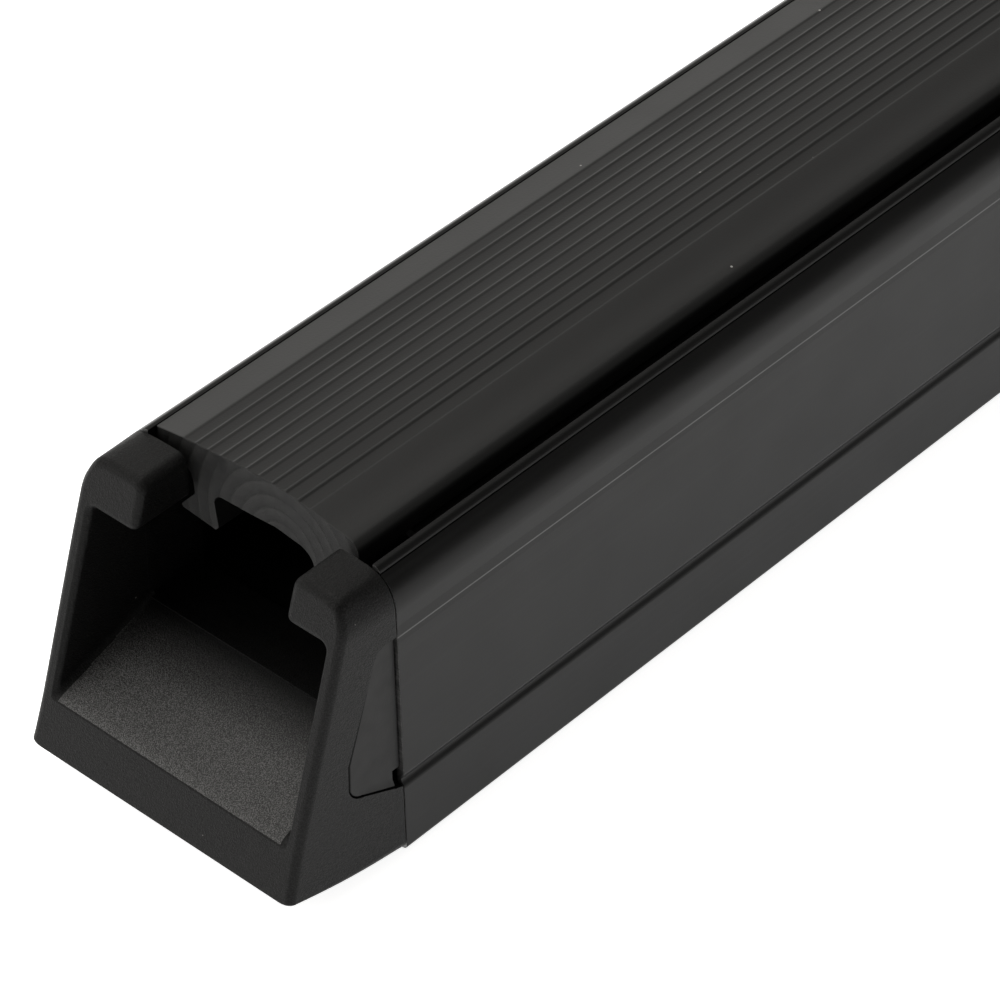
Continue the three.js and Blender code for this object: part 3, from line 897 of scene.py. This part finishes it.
def tongue_surface(x, z):
    """|y| of the tongue's face before its lean, and the share of the way to its free edge."""
    (low_x, low_z), (high_x, high_z) = FREE_EDGE
    free_edge = min(low_x + (high_x - low_x) * (z - low_z) / (high_z - low_z), low_x)
    reach = clamp(-x / free_edge)
    return TONGUE_SEAT + (TONGUE_TIP - TONGUE_SEAT) * reach, reach


def tongue_ledge():
    """A ramp along the tongue's low edge, by its x, its foot's z and its rise."""
    stations = [(-10.9, 20.9, 2.2), (-9.6, 20.2, 2.2), (-7, 19.2, 2.0), (-4.4, 18.2, 1.7),
                (-1.9, 17.3, 1.4)]
    rings = []
    for x, low, rise in stations:
        inner = tongue_surface(x, low)[0]
        outer = side_at(low) + SIDE_LEAN * (low - LEAN_CENTRE) + OUTER_DRAFT * -x - 0.25
        rings.append([(x, inner - 0.5, low), (x, outer, low), (x, outer, low + 0.25),
                      (x, inner - 0.02, low + rise), (x, inner - 0.5, low + rise)])
    return loft("ledge", rings)


def build_tongue_mesh():
    """The left cap's rear tongue: a nearly flush face, with a thin tab inside the bar."""
    outline = clean(tongue_window(-TONGUE_GAP, TONGUE_BACK))
    # its stations are shares of the thickness, from its back to its face
    stations = [(0, 0.05), (0.15, 0), (0.8, 0), (0.92, 0.06), (1, 0.2)]
    tongue = prism("tongue", [outline], stations, axes="y")
    for vertex in tongue.data.vertices:
        x, depth, z = vertex.co / MM
        surface, reach = tongue_surface(x, z)
        thick = TONGUE_ROOT + (TONGUE_THICK - TONGUE_ROOT) * reach
        vertex.co.y = (surface - thick * (1 - depth)) * MM
    tab = block("tab", (-1.5, TAB_INNER, TAB_BOTTOM), (TAB_LENGTH, TAB_OUTER, TAB_TOP))
    notch = block("notch", (-NOTCH_REACH, 20, 0), (1, OUTSIDE, NOTCH_TOP))
    combine(tongue, tab, "UNION")
    combine(tongue, tongue_ledge(), "UNION")
    combine(tongue, notch, "DIFFERENCE")
    for vertex in tongue.data.vertices:
        vertex.co.y -= SIDE_LEAN * (vertex.co.z - LEAN_CENTRE * MM)
    return tongue


def put(mesh, name, matrix):
    """A new object with a moved copy of a mesh, turned right side out if mirrored."""
    copy = mesh.copy()
    copy.transform(matrix)
    if matrix.determinant() < 0:
        copy.flip_normals()
    obj = bpy.data.objects.new(name, copy)
    bpy.context.scene.collection.objects.link(obj)
    return obj


def mark_tray(cap):
    """Second material slot on the sloping tray, whose grain is coarser and whose colour and shine carry
    painted shade near the bar's end.
    """
    for face in cap.data.polygons:
        x, y, z = face.center / MM
        inside = abs(y) < CAP_INNER - 0.5 and z < TRAY_TOP + 0.2 and abs(x) > BAR_END
        face.material_index = int(inside and face.normal.z > 0.7)


def build_caps():
    """Both caps with their tongues; the right end is the left one turned round."""
    cap, tongue = build_cap_mesh(), build_tongue_mesh()
    shell = textured_plastic("textured_plastic_fine", shine=0.15, grain=3000, height=0.12,
                             base_low=0.001, base_high=0.009, painted_shade_span=(0, 1))
    # the tray's colour and shine are darkened towards the bar's end as painted shade
    tray = textured_plastic("textured_plastic_coarse", shine=0.5, grain=3600, height=0.19,
                            base_low=0.001, base_high=0.1, painted_shade_span=TRAY_PAINTED_SHADE)
    plain = smooth_plastic()
    mirror = Matrix.Scale(-1, 4, (0, 1, 0))
    for end, turn in (("left", 0), ("right", math.pi)):
        offset = (-BAR_END - FIT) * MM
        pose = Matrix.Rotation(turn, 4, "Z") @ Matrix.Translation((offset, 0, 0))
        shown = put(cap.data, f"{end}_cap", pose)
        mark_tray(shown)
        smooth(soften(shown, CAP_EDGE))
        place(shown, f"{end}_cap", [f"{end}_end_cap"], [shell, tray])
        near, far = ("rear", "front") if end == "left" else ("front", "rear")
        for side, matrix in ((near, pose), (far, pose @ mirror)):
            piece = smooth(put(tongue.data, f"{end}_{side}_spring_tongue", matrix))
            place(piece, f"{end}_{side}_tongue",
                  [f"{end}_cap_{side}_tongue"], [plain])
    bpy.data.objects.remove(cap)
    bpy.data.objects.remove(tongue)


def nut_angles():
    return [2 * math.pi * i / NUT_TURNS for i in range(NUT_TURNS)]


def nut_ring(z, reaches):
    """Points round a nut's axis at one height, each at its own distance from the axis."""
    return [(r * math.cos(t), r * math.sin(t), z) for r, t in zip(reaches, nut_angles())]


def block_ring(margin, z):
    """A ring on the nut's block, which is smaller by a margin on each side."""
    half_x, half_y = NUT_HALF_LENGTH - margin, NUT_HALF_WIDTH - margin
    reaches = [1 / max(abs(math.cos(t)) / half_x, abs(math.sin(t)) / half_y)
               for t in nut_angles()]
    return nut_ring(z, reaches)


def thread_ring(z):
    """A ring on the bore's helical thread."""
    phases = [(z / THREAD_PITCH + i / NUT_TURNS) % 1 for i in range(NUT_TURNS)]
    return nut_ring(z, [NUT_HOLE + THREAD_DEPTH * (1 - abs(2 * phase - 1)) for phase in phases])


def nut_rings():
    """Rings of a threaded nut: up its chamfered outside, then down its threaded bore."""
    mouth = [NUT_HOLE + NUT_CHAMFER] * NUT_TURNS
    chamfer = [(0.5, 0), (0.12, 0.12), (0, 0.45)]
    rings = [nut_ring(NUT_BOTTOM, mouth)]
    rings += [block_ring(margin, NUT_BOTTOM + rise) for margin, rise in chamfer]
    rings += [block_ring(margin, NUT_TOP - rise) for margin, rise in chamfer[::-1]]
    rings.append(nut_ring(NUT_TOP, mouth))
    thread_top, thread_length = NUT_TOP - NUT_CHAMFER, NUT_TOP - NUT_BOTTOM - 2 * NUT_CHAMFER
    for row in range(THREAD_ROWS + 1):
        rings.append(thread_ring(thread_top - thread_length * row / THREAD_ROWS))
    return rings


def build_nuts():
    rings = nut_rings()
    points = [point for ring in rings for point in ring]
    faces = []
    for r in range(len(rings)):
        faces += band(r * NUT_TURNS, (r + 1) % len(rings) * NUT_TURNS, NUT_TURNS)
    nut = make_object("nut", points, faces)
    zinc = zinc_steel()
    for i in range(1, 5):
        low, high = node_box(f"channel_nut_{i}")
        shift = Matrix.Translation(((low[0] + high[0]) / 2 * MM, 0, 0))
        piece = smooth(put(nut.data, f"slot_nut_{i}", shift))
        place(piece, f"nut_{i}", [f"channel_nut_{i}"], [zinc])
    bpy.data.objects.remove(nut)


def build_infills():
    rubber = infill_rubber()
    for part in ("left", "centre", "right"):
        low, high = node_box(f"underside_infill_{part}")
        piece = prism(f"slot_infill_{part}", [infill_outline()],
                      rounded_stations(low[0], high[0], INFILL_END_ROUND))
        smooth(piece)
        place(piece, "bar", [f"underside_infill_{part}"], [rubber])


# ---- studio -------------------------------------------------------------------------------
def add_floor():
    """A plain pale floor that stays bright under the object."""
    corners = rectangle(-FLOOR_HALF, -FLOOR_HALF, FLOOR_HALF, FLOOR_HALF)
    mesh = bpy.data.meshes.new("floor")
    mesh.from_pydata([(x, y, FLOOR_HEIGHT) for x, y in corners], [], [(0, 1, 2, 3)])
    floor = bpy.data.objects.new("floor", mesh)
    bpy.context.scene.collection.objects.link(floor)
    f = Finish("floor_pale", Specular_IOR_Level=0.0, Roughness=1.0, Emission_Strength=0.86,
               Emission_Color=(1, 1, 1, 1), Base_Color=(0.85, 0.85, 0.85, 1))
    mesh.materials.append(f.material)


class Sky:
    """The world shader's nodes, with short ways to write a brightness by direction."""

    def __init__(self):
        world = bpy.data.worlds.new("studio")
        bpy.context.scene.world = world
        world.use_nodes = True
        self.tree = world.node_tree
        self.background = self.tree.nodes["Background"]
        self.background.inputs["Color"].default_value = (1, 0.985, 0.95, 1)
        self.direction = self.tree.nodes.new("ShaderNodeTexCoord").outputs["Generated"]

    def toward(self, x, y, z):
        """How closely a direction agrees with the given one, from -1 to 1."""
        made = self.tree.nodes.new("ShaderNodeVectorMath")
        made.operation = "DOT_PRODUCT"
        self.tree.links.new(self.direction, made.inputs[0])
        made.inputs[1].default_value = Vector((x, y, z)).normalized()
        return made.outputs["Value"]

    def step(self, value, start, end, low, high):
        """A soft change of brightness between two values."""
        made = self.tree.nodes.new("ShaderNodeMapRange")
        made.interpolation_type = "SMOOTHSTEP"
        self.tree.links.new(value, made.inputs["Value"])
        settings = {"From Min": start, "From Max": end, "To Min": low, "To Max": high}
        for key, number in settings.items():
            made.inputs[key].default_value = number
        return made.outputs["Result"]

    def join(self, operation, a, b):
        made = self.tree.nodes.new("ShaderNodeMath")
        made.operation = operation
        self.tree.links.new(a, made.inputs[0])
        self.tree.links.new(b, made.inputs[1])
        return made.outputs["Value"]

    def total(self, first, *others):
        for other in others:
            first = self.join("ADD", first, other)
        return first

    def shine(self, value):
        self.tree.links.new(value, self.background.inputs["Strength"])


def add_surroundings():
    """A soft key nearly overhead, a fill at the left rear, a bright low back, a dim front."""
    sky = Sky()
    height = sky.toward(0, 0, 1)
    back = sky.step(sky.toward(0, 1, 0), -0.25, 0.3, 0.0, 1.0)
    back_glow = sky.step(height, 0.36, 0.55, 0.72, 0.15)
    key_light = sky.step(sky.toward(*KEY_LIGHT), 0.92, 0.99, 0.0, 4.0)
    fill_light = sky.step(sky.toward(*FILL_LIGHT), 0.9, 0.985, 0.0, 2.0)
    base = sky.step(height, 0.0, 0.3, 0.45, 0.25)
    back_light = sky.join("MULTIPLY", back, back_glow)
    sky.shine(sky.total(base, back_light, key_light, fill_light))


def add_camera():
    """The view down on the left end: long lens, about 40 degrees above the horizon."""
    camera = bpy.data.objects.new("camera", bpy.data.cameras.new("camera"))
    bpy.context.scene.collection.objects.link(camera)
    camera.data.sensor_width = 36
    camera.data.lens = CAMERA_LENS
    camera.data.clip_start = 0.01
    camera.data.clip_end = 50
    turn = Euler([math.radians(angle) for angle in CAMERA_TURN])
    camera.matrix_world = Matrix.LocRotScale(Vector(CAMERA_PLACE), turn, None)
    bpy.context.scene.camera = camera


def main():
    add_camera()
    add_surroundings()
    add_floor()
    build_bar()
    build_strip()
    build_caps()
    build_nuts()
    build_infills()
    bpy.context.scene.view_settings.view_transform = "Standard"
    bpy.context.scene.view_settings.look = "None"


main()
